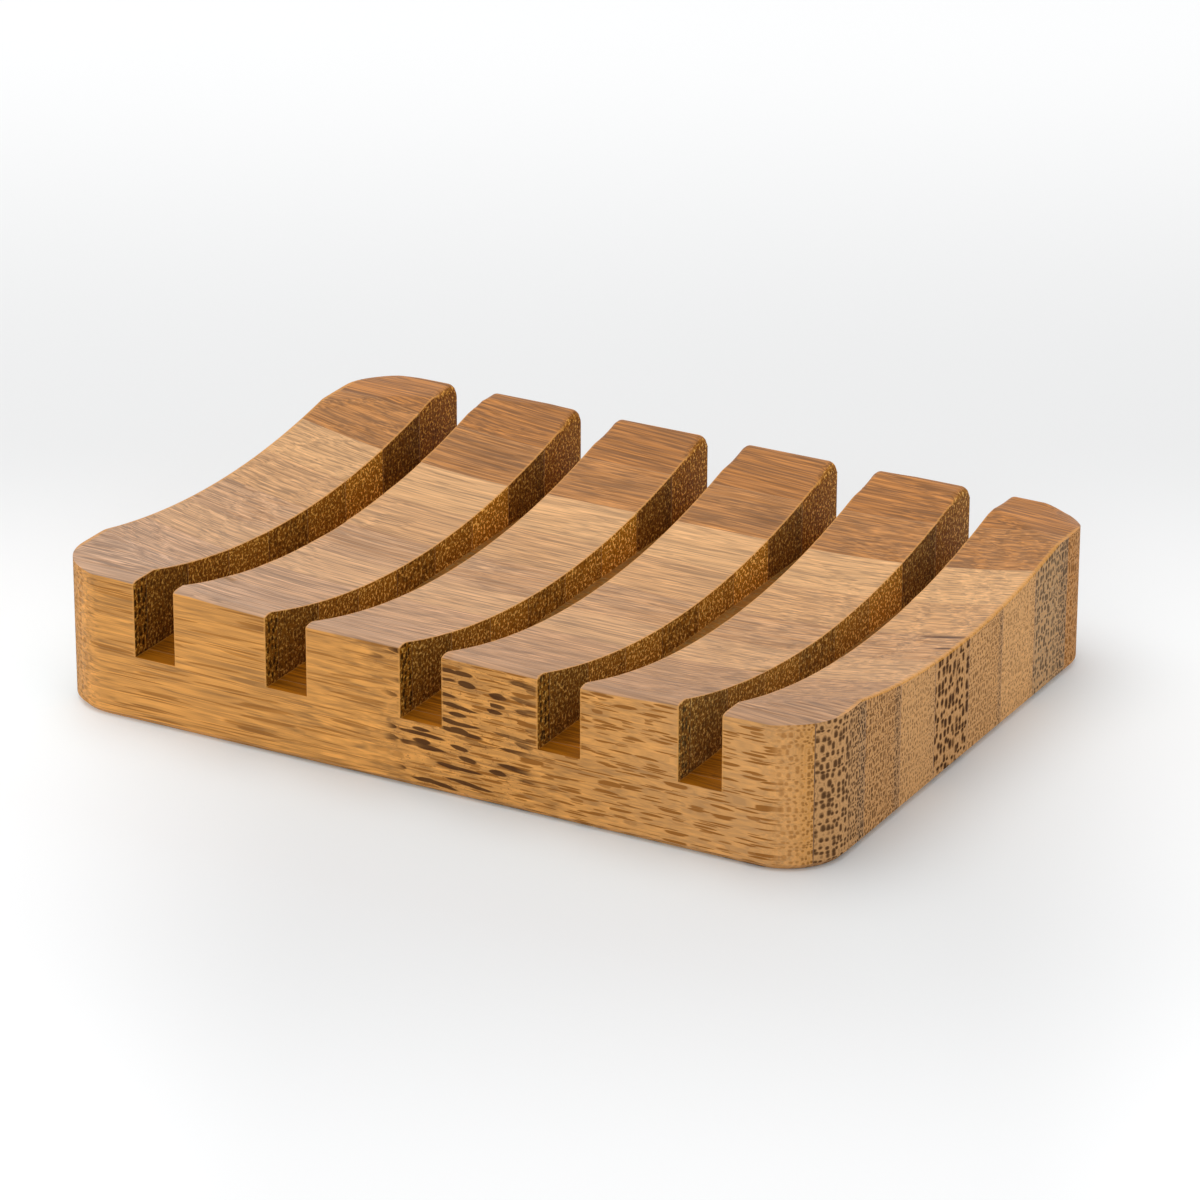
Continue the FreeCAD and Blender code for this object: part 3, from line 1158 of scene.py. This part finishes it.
def set_glue(number, darkness, finish):
    """The set glue of one joint, squeezed thin in places and worn off on top."""
    material = bpy.data.materials.new("glue_" + str(number))
    grain = Grain(material)
    coordinates = grain.add("TexCoord", {})
    place = grain.parts(grain.shade(coordinates.outputs["Object"], 1 / MM))
    moved = (0.0, GLUE_SHIFT * number, 0.0)
    squeezed = grain.clouds(grain.stretch(place, GLUE_RATES, moved), GRAINY, GLUE_DETAIL)
    thin = grain.fade(squeezed, *THIN_EDGE)
    bare = between(finish.pale, finish.deep, GLUE_DEPTH_SHARE)
    tight = between(bare, finish.glue, darkness * THIN_DARK_SHARE)
    full = between(bare, finish.glue, darkness)
    rising = grain.parts(coordinates.outputs["Normal"])[2]
    worn = grain.times(grain.fade(rising, *GLUE_UPWARD), GLUE_WORN_SHARE)
    grain.coat(
        {
            "Base Color": grain.blend(worn, grain.blend(thin, full, tight), bare),
            "Roughness": grain.span(thin, *GLUE_ROUGHNESS),
            "IOR": WOOD_IOR,
        }
    )
    return material


def floor_paint(stage):
    """Pale floor with a painted glow by emission that grows away from the dish, and painted light
    lifting the shadow close to it.
    """
    material = bpy.data.materials.new("studio_floor")
    grain = Grain(material)
    coordinates = grain.add("TexCoord", {})
    x, y, _ = grain.parts(coordinates.outputs["Object"])
    right_x, right_y, _ = CAMERA_RIGHT
    right = grain.plus(grain.times(x, right_x), grain.times(y, right_y))
    back = grain.plus(grain.times(x, -right_y), grain.times(y, right_x))
    beside = grain.fade(back, *GLOW_BESIDE)
    glow = grain.plus(
        grain.times(grain.fade(right, *GLOW_LEFT), beside, GLOW_LEFT_POWER),
        grain.times(grain.fade(right, *GLOW_RIGHT), beside, GLOW_RIGHT_POWER),
        grain.times(grain.fade(back, *GLOW_FRONT), GLOW_FRONT_POWER),
        grain.times(grain.fade(back, *GLOW_BACK), GLOW_BACK_POWER),
    )
    corner = CAD_BOX[1]
    aside = grain.calc("SUBTRACT", grain.calc("ABSOLUTE", x), corner.x)
    ahead = grain.calc("SUBTRACT", grain.calc("ABSOLUTE", y), corner.y)
    lift = grain.times(
        grain.fade(grain.larger(aside, ahead), LIFT_REACH, 0.0),
        grain.span(grain.fade(x, *LIFT_RIGHT), *LIFT_SHARES),
    )
    lifted = [grain.plus(glow, grain.times(lift, part)) for part in LIFT_COLOUR]
    # Painted light: the floor glows by emission though it is no lamp.
    grain.coat(
        {
            "Base Color": opaque(stage.floor),
            "Roughness": FLOOR_ROUGHNESS,
            "Emission Color": grain.vector(*lifted),
            "Emission Strength": 1.0,
        }
    )
    return material


def lay_floor(scene, stage):
    """The round floor, just below the dish."""
    shape = bmesh.new()
    bmesh.ops.create_circle(shape, cap_ends=True, radius=FLOOR_RADIUS, segments=FLOOR_SIDES)
    mesh = bpy.data.meshes.new("studio_floor")
    shape.to_mesh(mesh)
    shape.free()
    floor = bpy.data.objects.new("studio_floor", mesh)
    floor.location.z = -FLOOR_BELOW
    scene.collection.objects.link(floor)
    floor.data.materials.append(floor_paint(stage))


def light_stage(scene, stage):
    """A large soft light above the left, and even light from all around."""
    data = bpy.data.lights.new("key", "AREA")
    data.shape = "DISK"
    data.size = KEY_SIZE
    data.energy = stage.key_power
    data.color = KEY_COLOUR
    light = bpy.data.objects.new("key", data)
    light.location = KEY_PLACE
    light.rotation_euler = (-Vector(KEY_PLACE)).to_track_quat("-Z", "Y").to_euler()
    scene.collection.objects.link(light)

    world = bpy.data.worlds.new("studio")
    world.use_nodes = True
    background = world.node_tree.nodes["Background"]
    background.inputs["Color"].default_value = opaque(NO_TINT)
    background.inputs["Strength"].default_value = stage.surround
    scene.world = world
    scene.view_settings.view_transform = "Standard"


def place_camera(scene, stage):
    """The camera, which sees the dish from its right front corner."""
    data = bpy.data.cameras.new("camera")
    data.sensor_width = SENSOR_WIDTH
    data.lens = stage.lens
    data.clip_start = CLIP_START
    data.clip_end = CLIP_END
    camera = bpy.data.objects.new("camera", data)
    scene.collection.objects.link(camera)
    turn = Matrix((CAMERA_RIGHT, CAMERA_UP, CAMERA_BACK)).transposed().to_4x4()
    camera.matrix_world = Matrix.Translation(CAMERA_PLACE) @ turn
    scene.camera = camera


class DressLaths(bpy.types.Operator):
    """Wears every lath at its slots and at the rear lip, and finishes it in its own bamboo"""

    bl_idname = "soap_dish.dress_laths"
    bl_label = "Dress laths"

    def execute(self, context):
        finish = context.scene.bamboo_finish
        for number, lath in enumerate(LATHS):
            piece = worn_copy(lath.node, finish.wear)
            stand_in(piece, lath.node, bamboo(lath, number, finish))
        return {"FINISHED"}


class DressGlueLines(bpy.types.Operator):
    """Wears the glue lines level with the laths and finishes them"""

    bl_idname = "soap_dish.dress_glue_lines"
    bl_label = "Dress glue lines"

    def execute(self, context):
        finish = context.scene.bamboo_finish
        for number, darkness in enumerate(GLUE_DARKNESS, start=1):
            node = "glue_line_" + str(number)
            piece = worn_copy(node, finish.wear)
            stand_in(piece, node, set_glue(number, darkness, finish))
        return {"FINISHED"}


class SetStage(bpy.types.Operator):
    """Lays the pale floor and sets up the light and the camera"""

    bl_idname = "soap_dish.set_stage"
    bl_label = "Set stage"

    def execute(self, context):
        scene = context.scene
        stage = scene.dish_stage
        lay_floor(scene, stage)
        light_stage(scene, stage)
        place_camera(scene, stage)
        return {"FINISHED"}


class SoapDishPanel(bpy.types.Panel):
    """Sizes, colours and steps of the soap dish"""

    bl_idname = "VIEW3D_PT_soap_dish"
    bl_label = "Soap dish"
    bl_space_type = "VIEW_3D"
    bl_region_type = "UI"
    bl_category = "Soap dish"

    def draw(self, context):
        for group in (context.scene.bamboo_finish, context.scene.dish_stage):
            for name in group.bl_rna.properties.keys():
                if name not in ("rna_type", "name"):
                    self.layout.prop(group, name)
        for step in (DressLaths, DressGlueLines, SetStage):
            self.layout.operator(step.bl_idname)


CLASSES = (BambooFinish, DishStage, DressLaths, DressGlueLines, SetStage, SoapDishPanel)


def register():
    for each in CLASSES:
        bpy.utils.register_class(each)
    bpy.types.Scene.bamboo_finish = bpy.props.PointerProperty(type=BambooFinish)
    bpy.types.Scene.dish_stage = bpy.props.PointerProperty(type=DishStage)


def unregister():
    del bpy.types.Scene.dish_stage
    del bpy.types.Scene.bamboo_finish
    for each in reversed(CLASSES):
        bpy.utils.unregister_class(each)


def main():
    register()
    bpy.ops.soap_dish.dress_laths()
    bpy.ops.soap_dish.dress_glue_lines()
    bpy.ops.soap_dish.set_stage()


if __name__ == "__main__":
    main()
